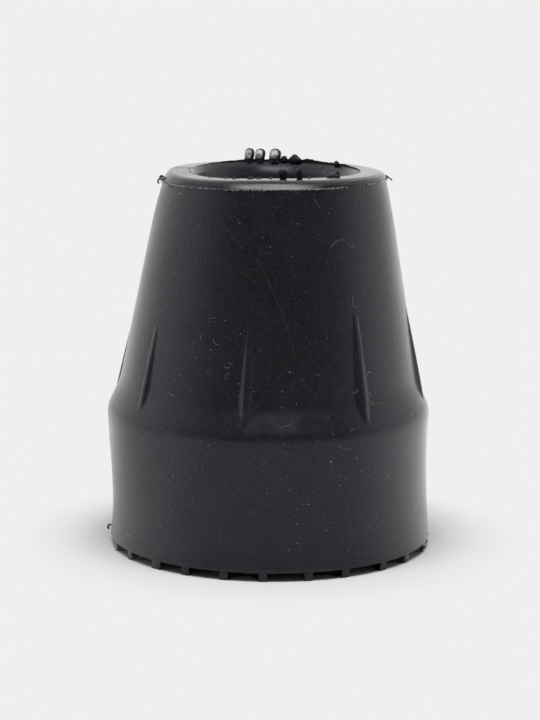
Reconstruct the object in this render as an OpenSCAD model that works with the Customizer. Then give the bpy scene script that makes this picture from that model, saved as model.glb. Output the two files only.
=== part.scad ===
// Rubber tip for a walking cane: one moulded piece with a blind socket for the shaft.
// Sizes are in millimetres. The tip stands on z = 0 and its axis is +Z; the front faces -Y.

/* [Overall] */
// Height of the lip over the ground
lip_z = 49.4; // [46:0.2:60]

/* [Foot] */
// Width across the foot
foot_d = 42.3; // [38:0.1:48]
// Height of the shoulder, where the foot turns into the flare
shoulder_z = 18.3; // [16:0.1:20]
// Radius of the shoulder's edge
shoulder_r = 3.6; // [1:0.1:5]
// How far the foot's wall is drawn in at its waist
waist_in = 0.36; // [0.1:0.02:0.8]
// Height of the waist
waist_z = 7.1; // [5:0.1:10]
// Radius of the wall's bottom edge
edge_r = 0.16; // [0.1:0.02:0.5]

/* [Flare and cone] */
// Width where the flare would meet the cone
root_d = 39.1; // [36:0.1:40]
// Height where the flare would meet the cone
root_z = 21.8; // [21:0.1:25]
// Radius of the hollow between flare and cone
hollow_r = 9; // [3:0.5:12]
// Width of the cone where it starts to draw in under the lip
neck_d = 32.1; // [31:0.1:34]
// Length of the part of the cone that draws in under the parting line
neck_h = 7.4; // [4:0.1:10]

/* [Lip] */
// Width at the mould's parting line, under the lip
lip_d = 28.8; // [28:0.1:30]
// Radius of the lip's rounded edge
lip_r = 1.2; // [0.6:0.1:1.6]
// How far the flash stands out of the parting line
flash_w = 0.25; // [0.1:0.05:0.5]
// Thickness of that flash where it leaves the rubber
flash_t = 0.2; // [0.1:0.05:0.4]

/* [Socket] */
// Diameter of the shaft that the socket grips
socket_d = 19; // [16:0.5:20]
// Depth of the socket below the lip
socket_depth = 35; // [25:0.5:38]
// Radius round the socket's floor
floor_r = 1; // [0.5:0.1:2]
// Width of the mouth at the lip
mouth_d = 21.9; // [21:0.1:23]
// Depth of the rounded mouth
mouth_depth = 2.9; // [1.5:0.1:4]
// Height of the thin fin left round the mouth, at the back where it is tallest
fin_h = 0.35; // [0.2:0.05:0.6]
// Height of that fin at the front
fin_front_h = 0.1; // [0.05:0.05:0.2]
// Width of that fin where it leaves the lip
fin_w = 0.3; // [0.15:0.05:0.5]

/* [Ribs] */
// Number of gusset ribs over the flare
rib_n = 8; // [4:1:12]
// Turn of the first rib from +X
rib_turn = 36.7; // [0:0.1:45]
// Height of a rib's upper end
rib_top_z = 32.6; // [30:0.1:34]
// How far a rib's blunt upper end stands out of the cone
rib_top_out = 0.06; // [0:0.02:0.4]
// How far a rib stands in from the foot's width at its lower end
rib_foot_in = 0.45; // [0.2:0.05:1]
// How far a rib's crest is arched
rib_bulge = 0.08; // [0.04:0.02:0.4]
// Width of a rib's flat crest
crest_w = 0.5; // [0.3:0.05:1]
// Sideways run of a rib's flanks for each millimetre of height
flank_run = 1.35; // [0.5:0.05:2]

/* [Tread] */
// Height of the tread ridges
tread_h = 1.1; // [0.8:0.1:2]
// Width of the tread ridges
ridge_w = 1.1; // [0.8:0.1:2]
// Number of horseshoe ridges round the edge
shoe_n = 12; // [8:1:14]
// Turn of the first horseshoe from +X
shoe_turn = 20.9; // [0:0.1:30]
// Radius of the pocket inside a horseshoe
shoe_r = 1.95; // [1.5:0.05:2.2]
// Distance of a horseshoe's round end from the wall
shoe_in = 0.65; // [0.3:0.05:2]
// Radii of the ring ridges inside the horseshoes
ring_radii = [6.5, 12.5];

/* [Moulding marks] */
// Turns of the vent nubs at the back of the mouth, from +X
nub_turns = [89.9, 100, 107.3];
// Radius of a vent nub's barrel
nub_r = 0.66; // [0.3:0.02:0.8]
// Radius of its neck
nub_neck_r = 0.5; // [0.2:0.05:0.6]
// Height of its neck over the lip
nub_neck_h = 0.3; // [0.1:0.1:0.6]
// Height of a vent nub over the lip
nub_h = 1.5; // [1:0.1:2]
// Turns of the torn peaks at the front of the mouth, from +X
peak_turns = [276.1, 287.3];
// Radius of a peak at its foot
peak_r = 0.5; // [0.3:0.05:0.8]
// Height of a peak over the lip
peak_h = 1.25; // [0.6:0.05:1.6]
// Turns of the low torn stubs round the mouth, from +X
stub_turns = [41.4, 76, 83.2, 313.4];
// Radius of a torn stub
stub_r = 0.4; // [0.2:0.05:0.6]
// Turns of the tags of flash low on the foot, from +X, each with how far it stands out
tags = [[0, 0.2], [180, 0.4]];
// Width of a tag
tag_w = 0.4; // [0.2:0.1:1.2]
// Height of a tag
tag_h = 0.9; // [0.6:0.1:2]

/* [Hidden] */
foot_r = foot_d / 2;
root_r = root_d / 2;
neck_r = neck_d / 2;
top_r = lip_d / 2;
bore_r = socket_d / 2;
mouth_r = mouth_d / 2;
parting_z = lip_z - lip_r;
neck_z = parting_z - neck_h;
floor_z = lip_z - socket_depth;
arc_steps = 6;
round_fn = 128;
ball_fn = 32;
bite = 0.3;
half_turn = 180;
full_turn = 360;

// Slopes of the flare and the cone, measured from the axis
flare_a = atan2(foot_r - root_r, root_z - shoulder_z);
cone_a = atan2(root_r - neck_r, neck_z - root_z);

// The foot's wall is hollow: one arc from the bottom edge to the waist, a longer one up to the shoulder
wall_low = tread_h + edge_r;
wall_high = shoulder_z - shoulder_r * tan(flare_a / 2);
waist_r = foot_r - waist_in;
low_arc_r = (pow(waist_z - wall_low, 2) + pow(waist_in, 2)) / (2 * waist_in);
high_arc_r = (pow(wall_high - waist_z, 2) + pow(waist_in, 2)) / (2 * waist_in);
low_arc_a = asin((waist_z - wall_low) / low_arc_r);
high_arc_a = asin((wall_high - waist_z) / high_arc_r);

// Centre of the hollow between flare and cone
hollow_t = hollow_r * tan((flare_a - cone_a) / 2);
hollow_c = [
    root_r + hollow_t * sin(flare_a) + hollow_r * cos(flare_a),
    root_z - hollow_t * cos(flare_a) + hollow_r * sin(flare_a)
];

// What the cone draws in under the lip, beyond its own slope
neck_drop = neck_r - neck_h * tan(cone_a) - top_r;

// The rounded mouth is an arc that runs into the socket's wall
mouth_in = mouth_r - bore_r;
mouth_arc_r = (pow(mouth_in, 2) + pow(mouth_depth, 2)) / (2 * mouth_in);
mouth_a = asin(mouth_depth / mouth_arc_r);
mouth_c = [bore_r + mouth_arc_r, lip_z - mouth_depth];

// A rib's crest is an arc from the cone to the flare
rib_top = [root_r - (rib_top_z - root_z) * tan(cone_a) + rib_top_out, rib_top_z];
rib_foot = [foot_r - rib_foot_in, shoulder_z + rib_foot_in / tan(flare_a)];
rib_a = atan2(rib_foot[0] - rib_top[0], rib_top[1] - rib_foot[1]);
rib_len = norm(rib_foot - rib_top);
rib_arc_r = pow(rib_len, 2) / (8 * rib_bulge);
rib_arc_a = asin(rib_len / 2 / rib_arc_r);
rib_mid = (rib_top + rib_foot) / 2 - (rib_arc_r - rib_bulge) * [cos(rib_a), sin(rib_a)];
rib_depth = 1.4;

shoe_c = foot_r - shoe_in;

function arc(c, r, a0, a1, n = arc_steps) =
    [for (i = [0:n]) c + r * [cos(a0 + (a1 - a0) * i / n), sin(a0 + (a1 - a0) * i / n)]];

// Neck curve: the cone's own line plus a drop that grows towards the lip
function neck_curve(n = arc_steps) =
    [for (i = [0:n]) [
        neck_r - neck_h * tan(cone_a) * i / n - neck_drop * pow(i / n, 2),
        neck_z + neck_h * i / n
    ]];

function outer_outline() = concat(
    [[0, tread_h]],
    arc([foot_r - edge_r, wall_low], edge_r, -90, 0, 4),
    arc([waist_r + low_arc_r, waist_z], low_arc_r, half_turn + low_arc_a, half_turn),
    arc([waist_r + high_arc_r, waist_z], high_arc_r, half_turn, half_turn - high_arc_a),
    arc([foot_r - shoulder_r, wall_high], shoulder_r, 0, flare_a),
    arc(hollow_c, hollow_r, half_turn + flare_a, half_turn + cone_a),
    neck_curve(),
    [[top_r + flash_w, parting_z + flash_t / 2]],
    arc([top_r - lip_r, parting_z + flash_t], lip_r - flash_t, 0, 90),
    [[0, lip_z]]
);

function fin_outline() = [
    [mouth_r, lip_z - bite],
    [mouth_r + fin_w, lip_z - bite],
    [mouth_r + fin_w, lip_z],
    [mouth_r + fin_w / 2, lip_z + fin_h],
    [mouth_r, lip_z + fin_h]
];

function socket_outline() = concat(
    [[0, floor_z]],
    arc([bore_r - floor_r, floor_z + floor_r], floor_r, -90, 0, 4),
    arc(mouth_c, mouth_arc_r, half_turn, half_turn - mouth_a),
    [[mouth_r, lip_z + fin_h * 2], [0, lip_z + fin_h * 2]]
);

// The fin stands tallest at the back and is cut down towards the front by a leaning plane
module fin() {
    fin_r = mouth_r + fin_w;
    lean = atan2(fin_h - fin_front_h, fin_r * 2);
    difference() {
        rotate_extrude($fn = round_fn)
            polygon(fin_outline());
        translate([0, -fin_r, lip_z + fin_front_h])
            rotate([lean, 0, 0])
                translate([-fin_r * 2, -fin_r, 0])
                    cube([fin_r * 4, fin_r * 4, fin_h * 2]);
    }
}

module body() {
    rotate_extrude($fn = round_fn)
        polygon(outer_outline());
    fin();
}

module rib() {
    half = crest_w / 2;
    base = half + rib_depth * flank_run;
    crest = rib_arc_r;
    deep = rib_arc_r - rib_depth;
    translate([rib_mid[0], 0, rib_mid[1]])
        rotate([half_turn / 2, rib_arc_a - rib_a, 0])
            rotate_extrude(angle = rib_arc_a * 2, $fn = round_fn)
                polygon([[crest, -half], [crest, half], [deep, base], [deep, -base]]);
}

// Horseshoe ridge: a round end towards the middle and two legs that run out to the wall
module horseshoe() {
    outer = shoe_r + ridge_w;
    difference() {
        union() {
            circle(r = outer, $fn = ball_fn);
            translate([0, -outer])
                square([outer, outer * 2]);
        }
        circle(r = shoe_r, $fn = ball_fn);
        translate([0, -shoe_r])
            square([outer * 2, shoe_r * 2]);
    }
}

module ring_ridge(r) {
    difference() {
        circle(r = r + ridge_w / 2, $fn = round_fn);
        circle(r = r - ridge_w / 2, $fn = round_fn);
    }
}

module tread() {
    linear_extrude(height = tread_h + bite)
        intersection() {
            circle(r = foot_r - edge_r / 4, $fn = round_fn);
            union() {
                for (i = [0:shoe_n - 1])
                    rotate(shoe_turn + i * full_turn / shoe_n)
                        translate([shoe_c, 0])
                            horseshoe();
                for (r = ring_radii)
                    ring_ridge(r);
            }
        }
}

module vent_nub() {
    barrel_h = nub_h - nub_neck_h - nub_r;
    translate([0, 0, lip_z - bite])
        cylinder(r = nub_neck_r, h = nub_neck_h + bite * 2, $fn = ball_fn);
    translate([0, 0, lip_z + nub_neck_h])
        cylinder(r = nub_r, h = barrel_h, $fn = ball_fn);
    translate([0, 0, lip_z + nub_neck_h + barrel_h])
        sphere(r = nub_r, $fn = ball_fn);
}

module mouth_marks() {
    for (a = nub_turns)
        rotate([0, 0, a])
            translate([mouth_r + nub_neck_r, 0, 0])
                vent_nub();
    for (a = peak_turns)
        rotate([0, 0, a])
            translate([mouth_r + peak_r, 0, lip_z - bite])
                cylinder(r1 = peak_r, r2 = peak_r / 2, h = peak_h + bite, $fn = ball_fn);
    for (a = stub_turns)
        rotate([0, 0, a])
            translate([mouth_r + stub_r, 0, lip_z + stub_r / 2])
                sphere(r = stub_r, $fn = ball_fn);
}

module flash_tag(out) {
    translate([foot_r - bite * 2, -tag_w / 2, tread_h + edge_r])
        cube([bite * 2 + out, tag_w, tag_h]);
}

module rubber_tip() {
    color([0.07, 0.07, 0.075]) {
        difference() {
            union() {
                body();
                for (i = [0:rib_n - 1])
                    rotate([0, 0, rib_turn + i * full_turn / rib_n])
                        rib();
            }
            rotate_extrude($fn = round_fn)
                polygon(socket_outline());
        }
        tread();
        mouth_marks();
        for (tag = tags)
            rotate([0, 0, tag[0]])
                flash_tag(tag[1]);
    }
}

rubber_tip();
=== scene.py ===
import math
import random

import bpy
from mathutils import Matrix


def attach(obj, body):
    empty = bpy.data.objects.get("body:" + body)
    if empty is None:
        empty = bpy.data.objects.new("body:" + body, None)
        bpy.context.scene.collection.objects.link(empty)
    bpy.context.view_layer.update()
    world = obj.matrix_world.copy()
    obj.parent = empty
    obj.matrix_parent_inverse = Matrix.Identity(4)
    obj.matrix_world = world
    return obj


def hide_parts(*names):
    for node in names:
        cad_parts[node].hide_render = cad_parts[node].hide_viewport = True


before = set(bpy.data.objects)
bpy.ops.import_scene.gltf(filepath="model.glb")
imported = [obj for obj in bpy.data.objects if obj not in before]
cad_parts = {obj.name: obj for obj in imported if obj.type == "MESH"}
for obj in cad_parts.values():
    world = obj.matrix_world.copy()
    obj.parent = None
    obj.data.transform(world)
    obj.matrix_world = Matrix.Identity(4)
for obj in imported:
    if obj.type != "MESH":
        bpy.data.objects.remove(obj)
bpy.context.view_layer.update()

# The rubber tip of a walking cane. Lengths are in millimetres and turns in degrees from +X unless a name
# says otherwise. The side seen from the front faces -Y.
MM = 0.001
ORIGIN = (0.0, 0.0, 0.0)
UP = (0, 0, 1)
FULL_TURN = 2 * math.pi
# Vertices nearer to each other than this are made one
MERGE_WITHIN = 0.004

# Foot
FOOT_R = 21.15
WAIST_R = FOOT_R - 0.36
WAIST_Z = 7.1
TREAD_H = 1.1
EDGE_R = 0.16
SHOULDER_Z = 18.3
SHOULDER_R = 3.6

# Flare and cone
ROOT_R = 19.55
ROOT_Z = 21.8
HOLLOW_R = 9.0
NECK_R = 16.05
NECK_H = 7.4

# Lip and socket
TOP_R = 14.4
LIP_R = 1.2
LIP_Z = 49.4
PARTING_Z = LIP_Z - LIP_R
NECK_Z = PARTING_Z - NECK_H
BORE_R = 9.5
SOCKET_DEPTH = 35.0
FLOOR_Z = LIP_Z - SOCKET_DEPTH
FLOOR_R = 1.0
MOUTH_R = 10.95
MOUTH_DEPTH = 2.9

# The rubber is a little out of true: between each pair of heights it drifts this far towards +X
DRIFTS = ((0.0, 0.1, 0.15), (5.0, 14.0, -0.3), (19.5, 49.4, 0.62))
# Towards +X the parting line rises by the first slope and the lip falls by the second, in degrees. The rim
# between them sits this far over to that side.
PARTING_SLOPE = 0.9
LIP_SLOPE = 0.38
RIM_SHIFT = 0.14

# Ribs
RIB_COUNT = 8
RIB_TURN = 36.7
RIB_TOP_Z = 32.6
RIB_TOP_OUT = 0.06
RIB_FOOT_IN = 0.45
RIB_BULGE = 0.08
RIB_CREST_W = 0.5
RIB_FLANK_RUN = 1.35
RIB_BURIED = 1.5
# Half the width in degrees of the strip of wall that a rib lifts, and how far the wall may be lifted
RIB_HALF_SPAN = 5.3
RIB_LIFT = 1.4
# Ribs that stand less proud than the rest: turn and how far they lie in
SUNK_RIBS = ((171.7, 0.1), (216.7, 0.17), (261.7, 0.12), (351.7, 0.08))

# Tread
RIDGE_W = 1.1
RIDGE_ROUND = 0.12
RIDGE_BURIED = 0.35
SHOE_COUNT = 12
SHOE_TURN = 20.9
SHOE_R = 1.95
SHOE_IN = 0.65
# The horseshoes' ends stand this far in from the wall where they leave the foot, and lean in by this more
SHOE_STEP = 0.12
SHOE_LEAN = 0.06
# From its ends to its bend a horseshoe draws in, narrowed to this share at each step
SHOE_TAPER = 0.965
SHOE_ROUND = 0.07
# Horseshoes that stand off their even spacing: turn and how far round the axis they are moved
SHOE_NUDGES = ((200.9, 3.3), (230.9, 1.9), (290.9, -0.6), (320.9, -0.6))
# Horseshoe ends that flare: turn of the flank and how far it goes round
SHOE_FLARES = ((228.0, 0.45), (257.0, 0.7), (294.2, -0.7), (324.2, -0.55))
RING_RADII = (6.5, 12.5)

# Vent nubs that stand on the mouth's edge: turn, width, height over the lip
NUBS = ((107.7, 1.34, 1.85), (100.2, 1.42, 1.78), (90.0, 1.68, 1.78))
NUB_R = MOUTH_R + 0.42
# The nub with a groove down its front
NUB_GROOVED = 90.0
# Torn stubs, lower than the nubs: turn, width, height over the lip
STUBS = (
    (83.2, 1.0, 0.85), (75.6, 1.95, 1.0), (41.4, 0.95, 0.6), (275.5, 1.0, 1.3), (286.6, 0.9, 1.3),
    (312.5, 2.2, 0.45), (316.9, 0.75, 0.8), (235.9, 1.0, 0.2), (242.4, 0.8, 0.22), (253.9, 0.95, 0.26),
    (259.4, 0.7, 0.18), (267.3, 0.7, 0.16), (293.0, 0.6, 0.16), (222.0, 0.8, 0.12),
)
STUB_R = MOUTH_R - 0.02
# How deep a stub's foot goes into the lip
STUB_BURIED = 0.35
# The broad stub is drawn out to a point, and stubs taller than this are fingers with a round top
STUB_POINTED = 75.6
FINGER_H = 1.0
# The lip's top dips on one side: turn of the dip, how far it reaches each way and how deep it is
DIP_TURN = 218
DIP_REACH = 56
DIP_DEPTH = 0.34
# The fin left round the mouth: its height at the front, what it gains at the back, and the turn where it
# stands highest
FIN_H = 0.1
FIN_GAIN = 0.38
FIN_TURN = 75
# How far the flash stands out of the parting line, and its teeth: turn, width, length. The teeth's turns are
# traced places, worked out by another script.
FLASH_OUT = 0.26
TEETH = (
    (230.0, 0.3, 0.25), (233.8, 0.25, 0.2), (246.5, 0.45, 0.35), (261.0, 0.35, 0.2), (314.0, 0.35, 0.25),
    (322.5, 0.4, 0.3),
)
# The crumbs of flash at the foot's edge
TAG_THICK = 0.27

# Lint that lies on the wall: turn and height of its start, length, heading over the wall (0 is towards
# greater turns and 90 is up) and how far it bends on its way. Most rows are traced places, worked out by
# another script and not chosen here. Nothing else in this file depends on them.
WHITE_LINT = (
    (329.5, 19.8, 0.8, -54, 0), (330.5, 19.2, 1.9, -40, 220), (207.0, 28.8, 0.8, -30, 0),
    (213.5, 47.0, 1.4, 40, -80), (207.0, 3.3, 1.8, -19, 30), (314.5, 12.9, 1.5, -74, 45),
    (310.3, 25.1, 0.8, 80, -120), (310.7, 22.4, 0.6, 60, 90), (310.5, 21.8, 0.7, -70, 60),
)
PALE_LINT = (
    (289.5, 47.2, 1.4, -63, 10), (296.5, 41.1, 2.2, 54, -60), (306.5, 41.6, 1.4, -115, 180),
    (307.0, 34.9, 2.0, -155, 165), (244.0, 32.3, 0.9, 12, 0), (241.5, 30.5, 1.0, -125, 85),
    (247.0, 29.9, 1.1, -90, 95), (237.5, 28.9, 0.7, 33, 0), (252.5, 26.7, 0.9, -60, 130),
    (254.0, 27.2, 0.7, -50, 110), (255.0, 25.8, 1.2, 155, 175), (233.5, 25.0, 0.5, 28, 0),
    (229.5, 22.8, 1.3, -30, 25), (288.0, 25.6, 0.4, 22, 0), (302.5, 23.1, 1.0, 0, 50),
    (312.5, 21.7, 1.2, -40, 45), (274.5, 19.6, 1.3, 18, 0), (294.5, 17.2, 2.1, -60, 80),
    (299.0, 18.8, 0.6, 16, 0), (268.5, 14.8, 0.9, 105, -115), (227.5, 9.9, 1.0, -43, 50),
)
DULL_LINT = (
    (263.0, 39.9, 13.0, -58, -18), (240.5, 45.1, 6.0, -33, -20), (257.0, 38.0, 2.1, -16, -26),
    (263.0, 30.4, 0.5, -43, 0), (265.5, 29.1, 0.6, 0, 0), (274.5, 34.2, 0.6, -49, 0),
    (278.0, 31.7, 0.5, -50, 0), (292.0, 30.9, 0.4, 13, 0), (293.5, 29.0, 0.5, -90, 0),
    (307.0, 29.4, 2.0, -76, 0), (281.0, 21.1, 0.8, -19, 0), (285.0, 20.8, 0.9, 20, 0),
    (279.5, 20.4, 0.7, -56, 0), (302.0, 15.7, 1.3, -18, 65), (305.0, 14.6, 1.1, 19, 15),
    (310.0, 14.1, 1.4, -7, 40), (285.0, 14.3, 0.6, -50, 0), (244.0, 12.7, 1.5, -60, 140),
    (224.0, 17.8, 0.9, 38, 0), (258.5, 18.2, 0.5, 57, 0), (272.5, 6.3, 2.4, 0, 15),
    (266.5, 1.4, 2.0, 70, -110), (293.5, 2.9, 0.6, 45, 0), (290.0, 8.4, 0.8, 65, 0),
)


# ---------- hand tools ----------

def deselect_all():
    if bpy.context.object and bpy.context.object.mode != "OBJECT":
        bpy.ops.object.mode_set(mode="OBJECT")
    bpy.ops.object.select_all(action="DESELECT")


def active(obj):
    """Makes obj the only selected object."""
    deselect_all()
    obj.select_set(True)
    bpy.context.view_layer.objects.active = obj
    return obj


def edit(obj, kind="VERT"):
    """Opens obj in edit mode with everything selected."""
    active(obj)
    bpy.ops.object.mode_set(mode="EDIT")
    bpy.ops.mesh.select_mode(type=kind)
    bpy.ops.mesh.select_all(action="SELECT")


def done():
    bpy.ops.object.mode_set(mode="OBJECT")


def named(obj, name):
    obj.name = name
    obj.data.name = name
    return obj


def place(obj, turn=0.0):
    """Writes obj's size, turn and place into its mesh, then turns it about the axis."""
    active(obj)
    bpy.ops.object.transform_apply(location=True, rotation=True, scale=True)
    if turn:
        obj.rotation_euler.z = math.radians(turn)
        bpy.ops.object.transform_apply(location=False, rotation=True, scale=False)


def turn_of(co):
    return math.degrees(math.atan2(co.y, co.x)) % 360


def pick(obj, test):
    """In edit mode, selects only the vertices whose place passes the test."""
    bpy.ops.mesh.select_mode(type="VERT")
    bpy.ops.mesh.select_all(action="DESELECT")
    done()
    for vertex in obj.data.vertices:
        vertex.select = test(vertex.co)
    bpy.ops.object.mode_set(mode="EDIT")


def clean():
    """Merges doubles and turns the faces outwards."""
    bpy.ops.mesh.select_all(action="SELECT")
    bpy.ops.mesh.remove_doubles(threshold=MERGE_WITHIN * MM)
    bpy.ops.mesh.normals_make_consistent(inside=False)


def apply_all(obj):
    active(obj)
    for modifier in list(obj.modifiers):
        bpy.ops.object.modifier_apply(modifier=modifier.name)


def copy_round(obj, count):
    """Copies all of obj's mesh round the axis."""
    edit(obj)
    turns = count - 1
    bpy.ops.mesh.spin(steps=turns, dupli=True, angle=FULL_TURN * turns / count, center=ORIGIN, axis=UP)
    done()


def join(objects, name):
    active(objects[0])
    for obj in objects:
        obj.select_set(True)
    bpy.ops.object.join()
    return named(objects[0], name)


def remove(obj):
    active(obj)
    bpy.ops.object.delete()


# ---------- outlines in the (radius, height) plane ----------

def arc(cx, cz, r, a0, a1, steps):
    turns = [math.radians(a0 + (a1 - a0) * i / steps) for i in range(steps + 1)]
    return [(cx + r * math.cos(t), cz + r * math.sin(t)) for t in turns]


def line(a, b, steps):
    """Points after a, up to and with b."""
    parts = range(1, steps + 1)
    return [(a[0] + (b[0] - a[0]) * i / steps, a[1] + (b[1] - a[1]) * i / steps) for i in parts]


# Slopes of the flare and the cone, measured from the axis
FLARE_A = math.degrees(math.atan2(FOOT_R - ROOT_R, ROOT_Z - SHOULDER_Z))
CONE_A = math.degrees(math.atan2(ROOT_R - NECK_R, NECK_Z - ROOT_Z))
CONE_RUN = math.tan(math.radians(CONE_A))


def cone_r(z):
    return ROOT_R - (z - ROOT_Z) * CONE_RUN


def ring_ridge(r):
    """Section of a ring ridge under the foot, from its inner to its outer side."""
    inner, outer = r - RIDGE_W / 2, r + RIDGE_W / 2
    return (
        [(inner, TREAD_H)]
        + arc(inner + RIDGE_ROUND, RIDGE_ROUND, RIDGE_ROUND, 180, 270, 3)
        + arc(outer - RIDGE_ROUND, RIDGE_ROUND, RIDGE_ROUND, 270, 360, 3)
        + [(outer, TREAD_H)]
    )


def underside():
    points = [(0.0, TREAD_H)]
    for r in RING_RADII:
        points += ring_ridge(r)
    return points


def wall():
    """From the foot's bottom edge, in at the waist and out to the shoulder's rounded edge."""
    low = TREAD_H + EDGE_R
    high = SHOULDER_Z - SHOULDER_R * math.tan(math.radians(FLARE_A / 2))
    points = arc(FOOT_R - EDGE_R, low, EDGE_R, -90, 0, 4)
    waist_in = FOOT_R - WAIST_R
    for half, below in ((WAIST_Z - low, True), (high - WAIST_Z, False)):
        bend = (half ** 2 + waist_in ** 2) / (2 * waist_in)
        turn = math.degrees(math.asin(half / bend))
        ends = (180 + turn, 180) if below else (180, 180 - turn)
        points += arc(WAIST_R + bend, WAIST_Z, bend, *ends, 12)[1:]
    points += arc(FOOT_R - SHOULDER_R, high, SHOULDER_R, 0, FLARE_A, 8)[1:]
    return points


def cone():
    """Hollow over the flare, then the cone up to the parting line."""
    t = HOLLOW_R * math.tan(math.radians((FLARE_A - CONE_A) / 2))
    flare = math.radians(FLARE_A)
    cx = ROOT_R + t * math.sin(flare) + HOLLOW_R * math.cos(flare)
    cz = ROOT_Z - t * math.cos(flare) + HOLLOW_R * math.sin(flare)
    hollow = arc(cx, cz, HOLLOW_R, 180 + FLARE_A, 180 + CONE_A, 9)
    points = line(wall()[-1], hollow[0], 6) + hollow[1:]
    over_ribs = (cone_r(RIB_TOP_Z + 1), RIB_TOP_Z + 1)
    points += line(points[-1], over_ribs, 36)
    points += line(over_ribs, (NECK_R, NECK_Z), 8)
    rise = PARTING_Z - NECK_Z
    drop = cone_r(PARTING_Z) - TOP_R
    for i in range(1, 9):
        z = NECK_Z + rise * i / 8
        points.append((cone_r(z) - drop * (i / 8) ** 2, z))
    return points


def lip_and_socket():
    mouth_in = MOUTH_R - BORE_R
    bend = (mouth_in ** 2 + MOUTH_DEPTH ** 2) / (2 * mouth_in)
    turn = math.degrees(math.asin(MOUTH_DEPTH / bend))
    points = arc(TOP_R - LIP_R, PARTING_Z, LIP_R, 4, 90, 12)
    points += line(points[-1], (MOUTH_R, LIP_Z), 5)
    points += arc(BORE_R + bend, LIP_Z - MOUTH_DEPTH, bend, 180 - turn, 180, 9)[1:]
    points += line(points[-1], (BORE_R, FLOOR_Z + FLOOR_R), 6)
    points += arc(BORE_R - FLOOR_R, FLOOR_Z + FLOOR_R, FLOOR_R, 0, -90, 5)[1:]
    return points + [(BORE_R / 2, FLOOR_Z), (0.0, FLOOR_Z)]


# ---------- pieces ----------

def chain(points):
    """One vertex pulled along a path of (x, y, z) points."""
    deselect_all()
    bpy.ops.mesh.primitive_plane_add(size=MM, location=[c * MM for c in points[0]])
    obj = bpy.context.object
    place(obj)
    edit(obj)
    bpy.ops.mesh.merge(type="CENTER")
    for a, b in zip(points, points[1:]):
        step = [(q - p) * MM for p, q in zip(a, b)]
        bpy.ops.mesh.extrude_vertices_move(TRANSFORM_OT_translate={"value": step})
    done()
    return obj


def draw_outline(points):
    """An outline of (radius, height) points as a chain in the XZ plane."""
    return chain([(r, 0, z) for r, z in points])


def spin_round(obj, steps):
    """Turns an outline into a round body, which is closed where the outline starts and ends on the axis."""
    edit(obj)
    bpy.ops.mesh.spin(steps=steps, angle=FULL_TURN, center=ORIGIN, axis=UP)
    clean()
    done()


def thread(obj, thick):
    """Gives the edges of obj a round section."""
    active(obj)
    bpy.ops.object.convert(target="CURVE")
    obj.data.bevel_depth = thick / 2 * MM
    obj.data.bevel_resolution = 1
    obj.data.use_fill_caps = True
    bpy.ops.object.convert(target="MESH")


def join_threads(paths, name):
    """One piece of threads that follow these paths, each as thick as its own path says."""
    threads = []
    for path, thick in paths:
        obj = chain(path)
        thread(obj, thick)
        threads.append(obj)
    return join(threads, name)


def rib_bars():
    """Bars with sloping flanks and slightly arched crests, one per rib, from the flare to the cone."""
    top = (cone_r(RIB_TOP_Z) + RIB_TOP_OUT, RIB_TOP_Z)
    foot = (FOOT_R - RIB_FOOT_IN, SHOULDER_Z + RIB_FOOT_IN / math.tan(math.radians(FLARE_A)))
    length = math.dist(top, foot)
    bend = length ** 2 / (8 * RIB_BULGE)
    lean = math.atan2(foot[0] - top[0], top[1] - foot[1])
    half_turn = math.asin(length / 2 / bend)
    deselect_all()
    bpy.ops.mesh.primitive_plane_add(size=1, location=(-0.5, 0, 0))
    bar = bpy.context.object
    place(bar)
    edit(bar)
    pick(bar, lambda co: co.x < -0.5)
    widen = 1 + 2 * RIB_BURIED * RIB_FLANK_RUN / RIB_CREST_W
    bpy.ops.transform.resize(value=(1, widen, 1), center_override=ORIGIN)
    done()
    bar.scale = (RIB_BURIED * MM, RIB_CREST_W * MM, 1)
    place(bar)
    bar.rotation_euler.y = half_turn
    bar.location = (bend * math.cos(half_turn) * MM, 0, -bend * math.sin(half_turn) * MM)
    place(bar)
    edit(bar)
    bpy.ops.mesh.spin(steps=16, angle=2 * half_turn, center=ORIGIN, axis=(0, 1, 0))
    clean()
    done()
    middle = ((top[0] + foot[0]) / 2, (top[1] + foot[1]) / 2)
    sag = bend - RIB_BULGE
    bar.rotation_euler.y = -lean
    bar.location = ((middle[0] - sag * math.cos(lean)) * MM, 0, (middle[1] - sag * math.sin(lean)) * MM)
    place(bar, RIB_TURN)
    copy_round(bar, RIB_COUNT)
    edit(bar)
    for turn, sunk in SUNK_RIBS:
        way = math.radians(turn)
        across = (math.cos(way), math.sin(way))
        pick(bar, lambda co: co.x * across[0] + co.y * across[1] > 0.9 * math.hypot(co.x, co.y))
        bpy.ops.transform.translate(value=(-across[0] * sunk * MM, -across[1] * sunk * MM, 0))
    done()
    return bar


def near_rib(co):
    """Whether a place on the body lies on a rib or just beside one."""
    if not (SHOULDER_Z - 0.5) * MM < co.z < (RIB_TOP_Z + 1) * MM:
        return False
    if math.hypot(co.x, co.y) < 0.75 * FOOT_R * MM:
        return False
    pitch = 360 / RIB_COUNT
    turn = (turn_of(co) - RIB_TURN) % pitch
    return min(turn, pitch - turn) < RIB_HALF_SPAN


def raise_ribs(body):
    """Pulls the wall out on to the rib bars and softens what that creases."""
    bars = rib_bars()
    edit(body)
    pick(body, near_rib)
    bpy.ops.object.vertex_group_assign_new()
    done()
    wrap = body.modifiers.new("rib_wrap", "SHRINKWRAP")
    wrap.target = bars
    wrap.wrap_method = "PROJECT"
    wrap.use_positive_direction = True
    wrap.use_negative_direction = False
    wrap.project_limit = RIB_LIFT * MM
    wrap.vertex_group = body.vertex_groups[0].name
    apply_all(body)
    edit(body)
    pick(body, near_rib)
    bpy.ops.mesh.vertices_smooth(factor=0.35, repeat=1)
    done()
    body.vertex_groups.clear()
    remove(bars)


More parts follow.
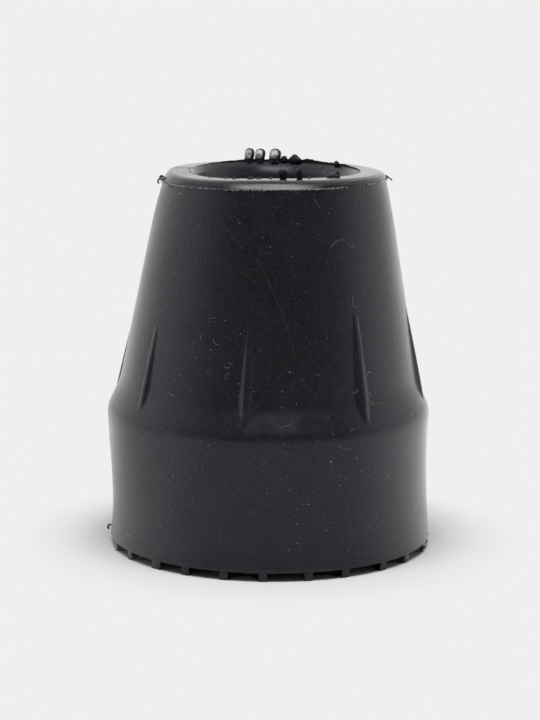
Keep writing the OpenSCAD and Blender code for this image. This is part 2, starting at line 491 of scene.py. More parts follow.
def make_cages():
    """One cage for each stretch of the drift. Its upper end stands aside by what the stretch adds."""
    cages = []
    for low, high, over in DRIFTS:
        deselect_all()
        bpy.ops.object.add(type="LATTICE", location=(0, 0, (low + high) / 2 * MM))
        cage = bpy.context.object
        cage.scale = (1, 1, (high - low) * MM)
        cage.data.interpolation_type_w = "KEY_LINEAR"
        for point in cage.data.points:
            point.select = point.co.z > 0
        bpy.ops.object.mode_set(mode="EDIT")
        bpy.ops.transform.translate(value=(over * MM, 0, 0))
        done()
        cages.append(cage)
    return cages


def drift(obj, cages):
    """Moves what lies over each height a little sideways."""
    for cage in cages:
        lean = obj.modifiers.new("drift", "LATTICE")
        lean.object = cage
    apply_all(obj)


def tip(height, slope, pivot_x=0.0, pivot_z=PARTING_Z):
    """In edit mode, tips what lies over a height so that it rises by slope degrees towards +X."""
    obj = bpy.context.object
    pick(obj, lambda co: co.z > height * MM)
    pivot = (pivot_x * MM, 0, pivot_z * MM)
    bpy.ops.transform.rotate(value=math.radians(slope), orient_axis="Y", center_override=pivot)


def tilt_rim(body):
    """Tips the rim at the parting line in steps, levels the lip again and moves it over by a fine step."""
    back = PARTING_SLOPE + LIP_SLOPE
    level_x = TOP_R * (PARTING_SLOPE / back - 1)
    rises = [PARTING_Z - 3.5 + 0.8 * i for i in range(5)]
    falls = [PARTING_Z + 0.1 + 0.25 * i for i in range(4)]
    edit(body)
    for height in rises:
        tip(height, PARTING_SLOPE / len(rises))
    for height in falls:
        tip(height, -back / len(falls), level_x, LIP_Z)
    pick(body, lambda co: co.z > (PARTING_Z + 0.05) * MM)
    bpy.ops.transform.translate(value=(RIM_SHIFT * MM, 0, 0))
    done()


def tip_with_lip(obj):
    edit(obj)
    tip(0, -LIP_SLOPE, -TOP_R, LIP_Z)
    done()


def dip_lip(obj):
    """Lets the lip's top sink a little on one side, in steps that draw in towards the dip's middle."""
    steps = 14
    base = PARTING_Z + 0.15
    lower = (1 - DIP_DEPTH / (LIP_Z - base)) ** (1 / steps)
    edit(obj)
    for i in range(steps):
        reach = DIP_REACH * math.acos(2 * (i + 0.5) / steps - 1) / math.pi
        pick(obj, lambda co, reach=reach: co.z > base * MM and abs(turn_of(co) - DIP_TURN) < reach)
        bpy.ops.transform.resize(value=(1, 1, lower), center_override=(0, 0, base * MM))
    done()


def tip_with_parting(obj):
    edit(obj)
    tip(0, PARTING_SLOPE)
    done()


def make_body():
    """The moulding without its horseshoes: one sector, with close columns for its rib, is copied round."""
    body = draw_outline(underside() + wall() + cone() + lip_and_socket())
    edit(body)
    sector = FULL_TURN / RIB_COUNT
    fine = math.radians(2 * RIB_HALF_SPAN + 0.2)
    coarse = (sector - fine) / 2
    for steps, angle in ((8, coarse), (30, fine), (8, coarse)):
        bpy.ops.mesh.spin(steps=steps, angle=angle, center=ORIGIN, axis=UP)
    clean()
    done()
    place(body, RIB_TURN - 180 / RIB_COUNT)
    copy_round(body, RIB_COUNT)
    edit(body)
    clean()
    done()
    raise_ribs(body)
    return named(body, "tip_body")


def make_shoes():
    """Horseshoe ridges of the tread: one is swept from its section, trued to the wall and copied round."""
    top = TREAD_H + RIDGE_BURIED
    centre = FOOT_R - SHOE_IN
    side = SHOE_R + RIDGE_W / 2
    reach = FOOT_R - SHOE_STEP
    end = math.sqrt(reach ** 2 - side ** 2)
    slant = math.asin(side / reach)
    leg = end - centre
    deselect_all()
    bpy.ops.mesh.primitive_plane_add(size=1, location=(0, 0, 0.5), rotation=(0, math.pi / 2, 0))
    shoe = bpy.context.object
    place(shoe)
    shoe.scale = (1, RIDGE_W * MM, top * MM)
    shoe.location = (end * MM, -side * MM, 0)
    place(shoe)
    edit(shoe)
    pick(shoe, lambda co: co.z < 0.01 * MM)
    bpy.ops.mesh.bevel(offset=RIDGE_ROUND * MM, segments=3, affect="VERTICES")
    bpy.ops.mesh.select_all(action="SELECT")
    bpy.ops.mesh.extrude_region_move(TRANSFORM_OT_translate={"value": (-leg * MM, 0, 0)})
    bpy.ops.mesh.spin(steps=20, angle=math.pi, center=(centre * MM, 0, 0), axis=UP)
    bpy.ops.mesh.extrude_region_move(TRANSFORM_OT_translate={"value": (leg * MM, 0, 0)})
    clean()
    # Both ends are turned flush with the wall, the sides draw in towards the bend, and the ends lean in
    for way in (-1, 1):
        pick(shoe, lambda co, way=way: co.x > (end - 0.02) * MM and co.y * way > 0)
        turn_about = (end * MM, way * side * MM, 0)
        bpy.ops.transform.rotate(value=-way * slant, orient_axis="Z", center_override=turn_about)
    for i in range(6):
        pick(shoe, lambda co, i=i: co.x < (end - 0.3 - 0.35 * i) * MM)
        bpy.ops.transform.resize(value=(1, SHOE_TAPER, 1), center_override=ORIGIN)
    pick(shoe, lambda co: co.x > (end - 0.4) * MM and co.z < 0.3 * MM)
    bpy.ops.transform.translate(value=(-SHOE_LEAN * MM, 0, 0))
    done()
    rounding = shoe.modifiers.new("rounding", "BEVEL")
    rounding.width = SHOE_ROUND * MM
    rounding.segments = 2
    rounding.limit_method = "ANGLE"
    rounding.angle_limit = math.radians(60)
    apply_all(shoe)
    place(shoe, SHOE_TURN)
    copy_round(shoe, SHOE_COUNT)
    edit(shoe)
    for turn, over in SHOE_NUDGES:
        pick(shoe, lambda co, turn=turn: abs(turn_of(co) - turn) < 11)
        bpy.ops.transform.rotate(value=-math.radians(over), orient_axis="Z", center_override=ORIGIN)
    for turn, over in SHOE_FLARES:
        mouth = (reach - 0.15) * MM
        pick(shoe, lambda co, turn=turn: abs(turn_of(co) - turn) < 1.3 and math.hypot(co.x, co.y) > mouth)
        way = math.radians(turn)
        bpy.ops.transform.translate(value=(-math.sin(way) * over * MM, math.cos(way) * over * MM, 0))
    done()
    return named(shoe, "tread_ridges")


def ragged_ring(name, r, z, out, rise, low, high, steps, thick, seed, wave=0.0, jump=0.45):
    """A thin fin of flash: a ring pulled out and up, its free edge torn by chance, then thickened.

    out and rise say how far at each turn in degrees. low and high bound the chance share of that, and jump
    is how fast the share changes. wave is how far the edge wanders up and down.
    """
    chance = random.Random(seed)
    deselect_all()
    bpy.ops.mesh.primitive_circle_add(vertices=steps, radius=r * MM, location=(0, 0, z * MM))
    ring = named(bpy.context.object, name)
    place(ring)
    edit(ring, "EDGE")
    bpy.ops.mesh.extrude_edges_move(TRANSFORM_OT_translate={"value": (0, 0, 0)})
    done()
    free = [v.index for v in ring.data.vertices if v.index >= steps]
    edit(ring)
    share = 1.0
    for index in free:
        bpy.ops.mesh.select_all(action="DESELECT")
        done()
        vertex = ring.data.vertices[index]
        vertex.select = True
        share = min(high, max(low, share + chance.uniform(-jump, jump)))
        turn = math.atan2(vertex.co.y, vertex.co.x)
        degrees = math.degrees(turn) % 360
        run = out(degrees) * share * MM
        lift = (rise(degrees) * share + chance.uniform(-wave, wave)) * MM
        bpy.ops.object.mode_set(mode="EDIT")
        bpy.ops.transform.translate(value=(math.cos(turn) * run, math.sin(turn) * run, lift))
    done()
    solid = ring.modifiers.new("thickness", "SOLIDIFY")
    solid.thickness = thick * MM
    solid.offset = 0
    apply_all(ring)
    return ring


def fin_height(degrees):
    """The mouth's fin is tallest at the back, with a swell beside the broad stub."""
    swell = 0.2 * max(0, 1 - abs(degrees - 66) / 16)
    return FIN_H + FIN_GAIN * max(0, math.cos(math.radians(degrees - FIN_TURN))) ** 1.2 + swell


def flash_reach(degrees):
    """The parting line's flash, with a few longer teeth."""
    reach = FLASH_OUT
    for turn, width, length in TEETH:
        off = abs(degrees - turn) / math.degrees(width / 2 / TOP_R)
        reach += length * max(0, 1 - off)
    return reach


def make_curls():
    """Loose threads of flash at the rim: ring, hook and a hanging one to the left, a sliver to the right."""
    left = -TOP_R - 0.25
    ring = arc(left + 0.1, PARTING_Z + 0.12, 0.21, 0, 335, 14)
    hook = arc(left - 0.09, PARTING_Z - 0.37, 0.3, 60, 250, 8)
    hang = [(0.1 - TOP_R - 0.2, -0.15), (0.4 - TOP_R, -0.5), (0.95 - TOP_R, -0.2)]
    sliver = [(TOP_R - 0.05, 0.55), (TOP_R + 0.3, 0.35), (TOP_R + 0.85, -0.1)]
    sliver = [(x, PARTING_Z + z) for x, z in sliver]
    upright = ((ring, -1.2, 0.36), (hook, -1.0, 0.26), (sliver, -0.5, 0.2))
    paths = [([(x, y, z) for x, z in points], thick) for points, y, thick in upright]
    hang = [(x, -math.sqrt((TOP_R + 0.5) ** 2 - x ** 2), PARTING_Z + z) for x, z in hang]
    return join_threads(paths + [(hang, 0.16)], "rim_curls")


def make_tags():
    """Crumbs of flash that stand off the foot's bottom edge on both sides: x, y, z, radius and arc."""
    rows = (
        (-FOOT_R - 0.1, -0.6, 1.7, 0.3, 60, 250), (FOOT_R - 0.35, -0.6, 1.05, 0.3, -60, 70),
        (19.75, -7.1, 0.85, 0.28, -30, 160), (19.45, -7.75, 0.6, 0.22, 80, 300),
        (20.1, -6.2, 0.55, 0.2, 0, 150),
    )
    paths = []
    for x, y, z, r, a0, a1 in rows:
        paths.append(([(px, y, pz) for px, pz in arc(x, z, r, a0, a1, 6)], TAG_THICK))
    return join_threads(paths, "foot_tags")


def wall_r(z):
    """Radius of the outer wall, near enough to start from."""
    if z < SHOULDER_Z:
        return FOOT_R
    if z < ROOT_Z:
        return FOOT_R + (ROOT_R - FOOT_R) * (z - SHOULDER_Z) / (ROOT_Z - SHOULDER_Z)
    return cone_r(z)


def fibre_path(turn, z, length, heading, bend):
    """Points of a fibre that runs over the wall, just off it."""
    steps = max(3, round(length / 0.3))
    points = []
    for i in range(steps + 1):
        r = wall_r(z) + 0.15
        points.append((r * math.cos(math.radians(turn)), r * math.sin(math.radians(turn)), z))
        way = math.radians(heading + bend * (i + 0.5) / steps)
        turn += math.degrees(length / steps * math.cos(way) / r)
        z += length / steps * math.sin(way)
    return points


def lay_lint(rows, body, cages, name, thick):
    """Fibres that cling to the body's wall."""
    lint = join([chain(fibre_path(*row)) for row in rows], name)
    drift(lint, cages)
    cling = lint.modifiers.new("cling", "SHRINKWRAP")
    cling.target = body
    cling.wrap_method = "NEAREST_SURFACEPOINT"
    cling.wrap_mode = "ABOVE_SURFACE"
    cling.offset = thick * 0.3 * MM
    apply_all(lint)
    thread(lint, thick)
    return lint


def make_nub(turn, width, height, seed):
    """A vent nub: a finger with a narrow waist and a domed top that leans over towards +X."""
    half = width / 2
    dome = half * 0.85
    outline = [(half * 1.1, -0.2), (half * 1.02, 0.3), (half * 0.94, 0.55), (half * 1.0, 0.85)]
    outline += [(half * x, height - dome + dome * z) for x, z in arc(0, 0, 1, 0, 90, 6)]
    nub = draw_outline(outline)
    spin_round(nub, 24)
    edit(nub)
    bpy.ops.transform.vertex_random(offset=0.035 * MM, uniform=0.3, normal=0.5, seed=seed)
    bpy.ops.mesh.vertices_smooth(factor=0.5, repeat=1)
    done()
    nub.location = (NUB_R * MM, 0, LIP_Z * MM)
    place(nub, turn)
    edit(nub)
    for step in range(4):
        pick(nub, lambda co, step=step: co.z > (LIP_Z + 0.3 + 0.25 * step) * MM)
        bpy.ops.transform.translate(value=(0.025 * MM, 0, 0))
    if turn == NUB_GROOVED:
        front, top = (NUB_R - 0.3) * MM, (LIP_Z + 1.3) * MM
        pick(nub, lambda co: abs(co.x - 0.1 * MM) < 0.12 * MM and co.y < front and co.z < top)
        bpy.ops.transform.translate(value=(0, 0.1 * MM, 0))
    # The open base is filled last, because the random push above goes by the number of vertices
    pick(nub, lambda co: co.z < (LIP_Z - 0.1) * MM)
    bpy.ops.mesh.edge_face_add()
    done()
    return nub


def make_stub(turn, width, height, seed):
    """A torn stub: a small peak with a wide foot, or a finger."""
    deselect_all()
    bpy.ops.mesh.primitive_ico_sphere_add(subdivisions=3, radius=0.5)
    stub = bpy.context.object
    edit(stub)
    if turn == STUB_POINTED:
        pick(stub, lambda co: co.z > 0.15)
        bpy.ops.transform.resize(value=(0.65, 0.65, 1.1), center_override=ORIGIN)
    elif height > FINGER_H:
        pick(stub, lambda co: co.z > 0.1)
        bpy.ops.transform.resize(value=(1.3, 1.3, 0.9), center_override=ORIGIN)
    bpy.ops.mesh.select_all(action="SELECT")
    bpy.ops.transform.vertex_random(offset=0.06, uniform=0.4, normal=0.4, seed=seed)
    bpy.ops.mesh.vertices_smooth(factor=0.5, repeat=1)
    done()
    whole = height + STUB_BURIED
    stub.scale = (min(0.75, max(0.5, width * 0.55)) * MM, width * MM, whole * 1.05 * MM)
    stub.location = (STUB_R * MM, 0, (LIP_Z + height - whole / 2) * MM)
    place(stub, turn)
    return stub


# ---------- finishes ----------

class Nodes:
    """A node tree with short ways to add the few kinds of node used here."""

    def __init__(self, tree):
        self.nodes = tree.nodes
        self.links = tree.links

    def add(self, kind, **settings):
        node = self.nodes.new("ShaderNode" + kind)
        for key, value in settings.items():
            setattr(node, key, value)
        return node

    def feed(self, socket, value):
        """Links a socket to a node's output, or sets it to a plain value."""
        if isinstance(value, bpy.types.NodeSocket):
            self.links.new(value, socket)
        else:
            socket.default_value = value

    def math(self, operation, a, b=0.0):
        node = self.add("Math", operation=operation)
        self.feed(node.inputs[0], a)
        self.feed(node.inputs[1], b)
        return node.outputs[0]

    def ramp(self, value, low, high, to_low=0.0, to_high=1.0):
        node = self.add("MapRange", interpolation_type="SMOOTHSTEP")
        for socket, number in zip(node.inputs, (value, low, high, to_low, to_high)):
            self.feed(socket, number)
        return node.outputs[0]

    def blend(self, factor, a, b):
        node = self.add("Mix", data_type="RGBA")
        for socket, value in zip((node.inputs[0], node.inputs[6], node.inputs[7]), (factor, a, b)):
            self.feed(socket, value)
        return node.outputs[2]

    def noise(self, where, scale, detail=2.0, roughness=0.5):
        node = self.add("TexNoise")
        settings = {"Vector": where, "Scale": scale, "Detail": detail, "Roughness": roughness}
        for key, value in settings.items():
            self.feed(node.inputs[key], value)
        return node.outputs[0]

    def facing(self, vector, way):
        """How far a direction goes this way: 1 for straight along it and -1 for straight against it."""
        node = self.add("VectorMath", operation="DOT_PRODUCT")
        self.feed(node.inputs[0], vector)
        node.inputs[1].default_value = way
        return node.outputs["Value"]

    def specks(self, where, scale, radius, shift):
        """Round specks of about this radius, as many as the scale gives, each with its own strength."""
        moved = self.add("VectorMath", operation="ADD")
        self.feed(moved.inputs[0], where)
        self.feed(moved.inputs[1], (shift, shift, shift))
        cells = self.add("TexVoronoi")
        self.feed(cells.inputs["Vector"], moved.outputs[0])
        self.feed(cells.inputs["Scale"], scale)
        near = self.ramp(cells.outputs["Distance"], radius * MM * scale, 0.4 * radius * MM * scale)
        strength = self.add("SeparateColor")
        self.feed(strength.inputs[0], cells.outputs["Color"])
        return self.math("MULTIPLY", near, self.math("POWER", strength.outputs[0], 1.6))


def grey(level, blue=1.0):
    return (level, level, level * blue, 1)


# Greys of the rubber and of the light painted on it, from its deepest black to the bloom and painted light
# on its nubs
DEEP_BLACK = grey(0.0038, 1.35)
SOFT_BLACK = grey(0.0068, 1.35)
GRAIN_GREY = grey(0.016, 1.3)
# Grey of the painted highlight at the front of the flare
FLARE_HIGHLIGHT_GREY = grey(0.035, 1.15)
TORN_GREY = grey(0.35, 0.97)
# Pale grey of the painted highlight at the front of the rim
RIM_HIGHLIGHT_GREY = grey(0.36, 0.98)
DUST_GREY = grey(0.45, 1.03)
# Pale grey of the bloom and painted light on the nubs
BLOOM_AND_LIGHT_GREY = grey(0.95, 1.02)
# The way that the nubs' side with bloom and painted light faces; that side is painted as if lit from there
LIT_SIDE_WAY = (-0.45, -0.88, 0.15)
# The wall's roughness and how far it wanders
WALL_ROUGH = 0.34
WALL_WANDER = 0.02
# How strongly wall and rim reflect, and the tint of what they reflect
WALL_SHEEN = 0.51
RIM_SHEEN = 0.46
SHEEN_TINT = (0.9, 0.885, 1.0, 1.0)
GRAIN_STRENGTH = 0.75
GRAIN_DEPTH = 0.02
# Faces that meet at less than this angle are shaded smooth
SMOOTH_ANGLE = 38


def dust_cover(n, where, height, dust):
    """How far dust covers the rubber: specks of three sizes in patches, and more of them on the foot."""
    fine = n.math("MULTIPLY", n.specks(where, 1100, 0.08, 0.0), 0.75)
    coarse = n.math("MULTIPLY", n.specks(where, 380, 0.13, 0.013), 0.8)
    faint = n.math("MULTIPLY", n.specks(where, 620, 0.1, 0.031), 0.17)
    patches = n.ramp(n.noise(where, 70, 3.0), 0.38, 0.62, 0.45, 1.0)
    dusty = n.math("MAXIMUM", faint, n.math("MAXIMUM", fine, coarse))
    dusty = n.math("MULTIPLY", dusty, n.math("MULTIPLY", patches, dust))
    return n.math("MULTIPLY", dusty, n.ramp(height, 21 * MM, 16 * MM, 1.0, 1.3))


def rim_painted_highlight(n, where, height, sideways, in_front):
    """A painted highlight: a pale band at the front of the rim, just over the parting line."""
    rim_glint = n.math("MULTIPLY", n.ramp(sideways, 7 * MM, 2 * MM), in_front)
    rim_glint = n.math("MULTIPLY", rim_glint, n.ramp(height, (PARTING_Z + 0.8) * MM, (PARTING_Z + 0.2) * MM))
    rim_glint = n.math("MULTIPLY", rim_glint, n.ramp(height, (PARTING_Z - 0.02) * MM, (PARTING_Z + 0.1) * MM))
    return n.math("MULTIPLY", rim_glint, n.ramp(n.noise(where, 900, 3.0), 0.2, 0.5, 0.6, 1.0))


def flare_painted_highlight(n, where, height, sideways, in_front):
    """A painted highlight: a lighter patch at the front of the flare, where the lamp's reflection falls."""
    on_flare = n.ramp(n.math("ABSOLUTE", n.math("SUBTRACT", height, 20.0 * MM)), 2.0 * MM, 0.5 * MM)
    flare_glint = n.math("MULTIPLY", n.ramp(sideways, 8 * MM, 3 * MM), n.math("MULTIPLY", on_flare, in_front))
    flare_glint = n.math("MULTIPLY", flare_glint, n.ramp(n.noise(where, 420, 4.0, 0.7), 0.35, 0.65))
    return n.math("MULTIPLY", flare_glint, 0.5)


def nub_bloom_and_painted_light(n, where, height, bloom_and_light):
    """A pale bloom and painted light on the upper part of the nubs, only on the side that faces the
    front-left.
    """
    front = n.facing(n.add("NewGeometry").outputs["Normal"], LIT_SIDE_WAY)
    high_up = n.ramp(height, (LIP_Z + 0.3) * MM, (LIP_Z + 0.95) * MM)
    below = n.ramp(height, (LIP_Z + 1.7) * MM, (LIP_Z + 1.15) * MM, 0.1, 1.0)
    high_up = n.math("MULTIPLY", high_up, below)
    lit_bloom = n.math("MULTIPLY", n.ramp(front, 0.45, 0.85), high_up)
    lit_bloom = n.math("MULTIPLY", lit_bloom, n.ramp(n.noise(where, 1800, 3.0), 0.35, 0.6, 0.3, 1.0))
    return n.math("MULTIPLY", lit_bloom, bloom_and_light)


def rubber(name, gloss=0.24, dust=1.0, bloom_and_light=0.0, pale=0.0):
    """Black moulded rubber: satin, mottled, with pale dust and painted highlights at the front of its rim
    and flare; its rim is smoother than its wall.

    gloss is the rim's roughness and dust the share of dust. The bloom and light share is how far the nubs
    are paled, with painted light on their front-left side, and pale how far thin flash is paled all over.
    """
    material = bpy.data.materials.new(name)
    material.use_nodes = True
    shader = material.node_tree.nodes["Principled BSDF"]
    n = Nodes(material.node_tree)
    where = n.add("TexCoord").outputs["Object"]
    place_in = n.add("SeparateXYZ")
    n.feed(place_in.inputs[0], where)
    height = place_in.outputs[2]
    rim = n.ramp(height, (PARTING_Z - 0.05) * MM, (PARTING_Z + 0.25) * MM)
    # How far a place is from the middle of the front, and whether it is in front at all: they place the
    # painted highlights
    sideways = n.math("ABSOLUTE", n.math("SUBTRACT", place_in.outputs[0], 0.4 * MM))
    in_front = n.ramp(place_in.outputs[1], -12 * MM, -13.5 * MM)

    mottle = n.noise(where, 260, 4.0, 0.6)
    colour = n.blend(n.ramp(mottle, 0.35, 0.7), DEEP_BLACK, SOFT_BLACK)
    grain = n.noise(where, 2400, 3.0, 0.6)
    colour = n.blend(n.ramp(grain, 0.5, 0.75), colour, GRAIN_GREY)
    dusty = dust_cover(n, where, height, dust)
    colour = n.blend(dusty, colour, DUST_GREY)
    # Painted highlight: a pale band at the front of the rim, where the lamp's reflection falls on the lip
    # roll
    colour = n.blend(rim_painted_highlight(n, where, height, sideways, in_front), colour, RIM_HIGHLIGHT_GREY)
    # Painted highlight: a lighter patch at the front of the flare, where the lamp's reflection falls
    colour = n.blend(flare_painted_highlight(n, where, height, sideways, in_front), colour, FLARE_HIGHLIGHT_GREY)
    # Pale bloom with painted light on the nubs' front-left side
    if bloom_and_light:
        colour = n.blend(nub_bloom_and_painted_light(n, where, height, bloom_and_light), colour, BLOOM_AND_LIGHT_GREY)
    if pale:
        torn = n.math("MULTIPLY", n.ramp(n.noise(where, 3500, 3.0), 0.35, 0.65), pale)
        colour = n.blend(torn, colour, TORN_GREY)
    n.feed(shader.inputs["Base Color"], colour)

    wander = n.ramp(n.noise(where, 150, 3.0), 0.35, 0.65, WALL_ROUGH - WALL_WANDER, WALL_ROUGH + WALL_WANDER)
    rough = n.math("ADD", wander, n.math("MULTIPLY", rim, gloss - WALL_ROUGH))
    n.feed(shader.inputs["Roughness"], n.math("MINIMUM", n.math("MAXIMUM", rough, dusty), 1.0))
    shader.inputs["IOR"].default_value = 1.5
    uneven = n.math("SUBTRACT", n.noise(where, 5200, 2.0, 0.6), 0.5)
    uneven = n.math("MULTIPLY", uneven, n.math("ADD", 0.6, n.math("MULTIPLY", rim, 0.6)))
    sheen = n.math("ADD", uneven, n.ramp(rim, 0.0, 1.0, WALL_SHEEN, RIM_SHEEN))
    n.feed(shader.inputs["Specular IOR Level"], sheen)
    shader.inputs["Specular Tint"].default_value = SHEEN_TINT

    bump = n.add("Bump")
    bump.inputs["Strength"].default_value = GRAIN_STRENGTH
    bump.inputs["Distance"].default_value = GRAIN_DEPTH * MM
    n.feed(bump.inputs["Height"], grain)
    n.feed(shader.inputs["Normal"], bump.outputs[0])
    return material


def lint_finish(name, level):
    """Fibres of lint of this grey, a little lighter and darker along their way."""
    material = bpy.data.materials.new(name)
    material.use_nodes = True
    shader = material.node_tree.nodes["Principled BSDF"]
    n = Nodes(material.node_tree)
    where = n.add("TexCoord").outputs["Object"]
    colour = n.blend(n.noise(where, 1500), grey(level * 0.5), grey(level * 1.5))
    n.feed(shader.inputs["Base Color"], colour)
    shader.inputs["Roughness"].default_value = 0.8
    return material


def finish_piece(obj, material):
    active(obj)
    bpy.ops.object.shade_smooth_by_angle(angle=math.radians(SMOOTH_ANGLE))
    obj.data.materials.clear()
    obj.data.materials.append(material)
    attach(obj, "root")


# ---------- studio ----------

# Lengths in this part are in metres.

# The way to the studio's darker end, where the camera stands
FRONT_WAY = (0.085, -0.99, 0.08)
# How bright the backdrop looks
BACKDROP = 0.863
# What the rubber reflects: the walls, the darker end, and what the walls gain at the far end
WALLS = 0.98
DARK_END = 0.174
FAR_GAIN = 0.3
# What the walls and the darker end add to the light on matt surfaces
SIDE_FILL = 0.5
FRONT_FILL = 0.12

# The floor: its size, its darker and lighter tone, its tone in what the rubber reflects, and the distances
# between which it runs into the backdrop
FLOOR_SIZE = 6
FLOOR_TONES = (0.715, 0.725)
FLOOR_IN_RUBBER = 0.61
FLOOR_FADE = (0.0225, 0.036)
# What its reflection in the rubber gains: all round but for the front, at the back, and at the back right
FLOOR_GAIN = 0.38
FLOOR_BACK_GAIN = 0.7
FLOOR_SIDE_GAIN = 0.45
FLOOR_SIDE_WAY = (0.76, 0.65, 0)

# The camera: lens and frame height in mm, its place, and how many degrees it looks down and is rolled
LENS = 113.5
FRAME_H = 36
CAMERA_AT = (0.00003, -0.2937, 0.0779)
CAMERA_DOWN = 10.35
CAMERA_ROLL = 0.37


def studio_world():
    """Pale walls that are darker behind the camera, and a softer fill of the same kind."""
    world = bpy.data.worlds.new("studio")
    bpy.context.scene.world = world
    world.use_nodes = True
    n = Nodes(world.node_tree)
    n.nodes.clear()
    front = n.facing(n.add("TexCoord").outputs["Generated"], FRONT_WAY)
    light = n.ramp(front, -0.1, 0.8, WALLS, DARK_END)
    light = n.math("ADD", light, n.ramp(front, -0.45, -0.95, 0.0, FAR_GAIN))
    rays = n.add("LightPath")
    fill = n.ramp(front, 0.1, 0.75, SIDE_FILL, FRONT_FILL)
    seen = n.blend(rays.outputs["Is Glossy Ray"], fill, light)
    shade = n.add("Background")
    n.feed(shade.inputs["Color"], n.blend(rays.outputs["Is Camera Ray"], seen, grey(BACKDROP)))
    out = n.add("OutputWorld")
    n.feed(out.inputs["Surface"], shade.outputs[0])


def soft_light(name, size, watts, place_at, turn, in_gloss=True):
    """A lamp with a broad rectangular face. in_gloss says whether the rubber reflects it."""
    data = bpy.data.lights.new(name, "AREA")
    data.shape = "RECTANGLE"
    data.size, data.size_y = size
    data.energy = watts
    lamp = bpy.data.objects.new(name, data)
    bpy.context.scene.collection.objects.link(lamp)
    lamp.location = place_at
    lamp.rotation_euler = [math.radians(a) for a in turn]
    lamp.visible_glossy = in_gloss


def floor_finish():
    """Pale and matt. It runs into the backdrop further off, and the rubber reflects it by its side."""
    material = bpy.data.materials.new("pale_floor")
    material.use_nodes = True
    n = Nodes(material.node_tree)
    shader = n.nodes["Principled BSDF"]
    where = n.add("TexCoord").outputs["Object"]
    rays = n.add("LightPath")
    dark, light = FLOOR_TONES
    tone = n.blend(n.noise(where, 40, 2.0), grey(dark), grey(light))
    tone = n.blend(rays.outputs["Is Glossy Ray"], tone, grey(FLOOR_IN_RUBBER))
    n.feed(shader.inputs["Base Color"], tone)
    shader.inputs["Roughness"].default_value = 1.0
    shader.inputs["Specular IOR Level"].default_value = 0.0
    away = n.add("VectorMath", operation="LENGTH")
    n.feed(away.inputs[0], where)
    far = n.ramp(away.outputs["Value"], *FLOOR_FADE)
    plain = n.add("Emission")
    plain.inputs["Color"].default_value = grey(BACKDROP)
    mixed = n.add("MixShader")
    n.feed(mixed.inputs[0], n.math("MULTIPLY", far, rays.outputs["Is Camera Ray"]))
    n.feed(mixed.inputs[1], shader.outputs[0])
    n.feed(mixed.inputs[2], plain.outputs[0])
    way = n.add("VectorMath", operation="NORMALIZE")
    n.feed(way.inputs[0], where)
    front = n.facing(way.outputs[0], FRONT_WAY)
    side = n.facing(way.outputs[0], FLOOR_SIDE_WAY)
    gloss = n.add("Emission")
    gain = n.ramp(front, 0.3, 0.85, FLOOR_GAIN, 0.0)
    gain = n.math("ADD", gain, n.ramp(front, -0.4, -0.9, 0.0, FLOOR_BACK_GAIN))
    gain = n.math("ADD", gain, n.ramp(side, 0.5, 0.97, 0.0, FLOOR_SIDE_GAIN))
    n.feed(gloss.inputs["Strength"], n.math("MULTIPLY", gain, rays.outputs["Is Glossy Ray"]))
    total = n.add("AddShader")
    n.feed(total.inputs[0], mixed.outputs[0])
    n.feed(total.inputs[1], gloss.outputs[0])
    n.feed(n.nodes["Material Output"].inputs["Surface"], total.outputs[0])
    return material


def make_floor():
    deselect_all()
    bpy.ops.mesh.primitive_plane_add(size=FLOOR_SIZE, location=ORIGIN)
    floor = named(bpy.context.object, "floor")
    floor.data.materials.append(floor_finish())


def make_camera():
    data = bpy.data.cameras.new("camera")
    data.sensor_fit = "VERTICAL"
    data.sensor_height = FRAME_H
    data.lens = LENS
    data.clip_start = 0.01
    data.clip_end = 20
    camera = bpy.data.objects.new("camera", data)
    bpy.context.scene.collection.objects.link(camera)
    camera.location = CAMERA_AT
    camera.rotation_euler = (math.radians(90 - CAMERA_DOWN), 0, 0)
    camera.rotation_euler.rotate_axis("Z", math.radians(CAMERA_ROLL))
    bpy.context.scene.camera = camera
    bpy.context.scene.view_settings.view_transform = "Standard"


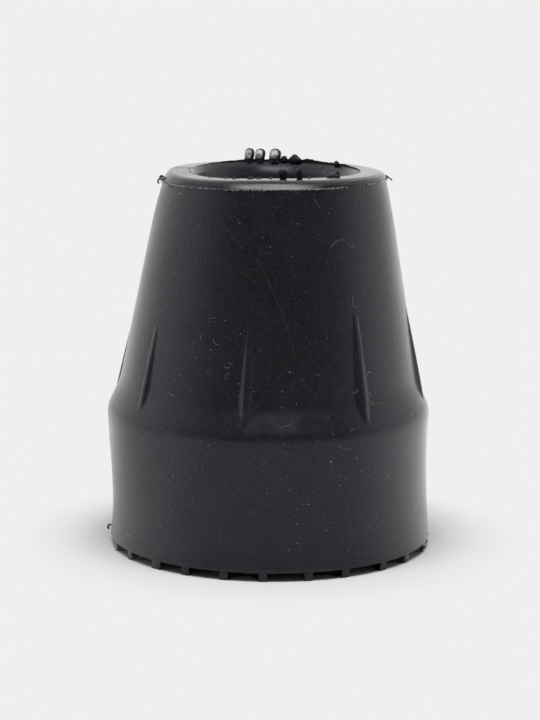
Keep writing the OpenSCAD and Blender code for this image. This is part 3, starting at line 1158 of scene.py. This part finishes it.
body = make_body()
shoes = make_shoes()
mouth_fin = ragged_ring(
    "mouth_flash", r=MOUTH_R + 0.08, z=LIP_Z - 0.1, out=lambda a: 0.02, rise=fin_height,
    low=0.8, high=1.15, steps=320, thick=0.14, seed=4, jump=0.12,
)
parting_fin = ragged_ring(
    "parting_flash", r=TOP_R - 0.1, z=PARTING_Z, out=flash_reach, rise=lambda a: -0.02,
    low=0.4, high=1.7, steps=560, thick=0.13, seed=9, wave=0.07,
)
nubs = join([make_nub(*nub, seed) for seed, nub in enumerate(NUBS)], "vent_nubs")
stubs = join([make_stub(*stub, seed) for seed, stub in enumerate(STUBS)], "torn_stubs")
curls = make_curls()
tags = make_tags()
tilt_rim(body)
for piece in (mouth_fin, nubs, stubs):
    tip_with_lip(piece)
for piece in (body, mouth_fin, stubs):
    dip_lip(piece)
tip_with_parting(parting_fin)
cages = make_cages()
moulding = (body, shoes, mouth_fin, parting_fin, nubs, stubs, curls, tags)
for piece in moulding:
    drift(piece, cages)
white_lint = lay_lint(WHITE_LINT, body, cages, "white_lint", thick=0.06)
pale_lint = lay_lint(PALE_LINT, body, cages, "pale_lint", thick=0.07)
dull_lint = lay_lint(DULL_LINT, body, cages, "dull_lint", thick=0.05)
for cage in cages:
    remove(cage)

black = rubber("black_rubber")
flash = rubber("torn_rubber", pale=0.6)
# The nubs' finish: a pale bloom with painted light on their front-left side
bloomed_and_lit = rubber("bloomed_lit_rubber", dust=0.4, bloom_and_light=1.0)
dull = rubber("dull_rubber", gloss=0.5, dust=0.5)
for piece, finish in zip(moulding, (black, black, dull, flash, bloomed_and_lit, dull, flash, black)):
    finish_piece(piece, finish)
finish_piece(white_lint, lint_finish("white_fibre", level=0.28))
finish_piece(pale_lint, lint_finish("pale_fibre", level=0.1))
finish_piece(dull_lint, lint_finish("dull_fibre", level=0.035))
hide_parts("rubber_tip")

make_floor()
studio_world()
soft_light(
    "overhead", size=(0.4, 0.12), watts=1.37, place_at=(0.0, -0.1, 0.45), turn=(12.5, 0, 0), in_gloss=False,
)
soft_light("softbox", size=(0.2, 0.2), watts=0.52, place_at=(0.0, -0.17, 0.42), turn=(22, 0, 0))
make_camera()
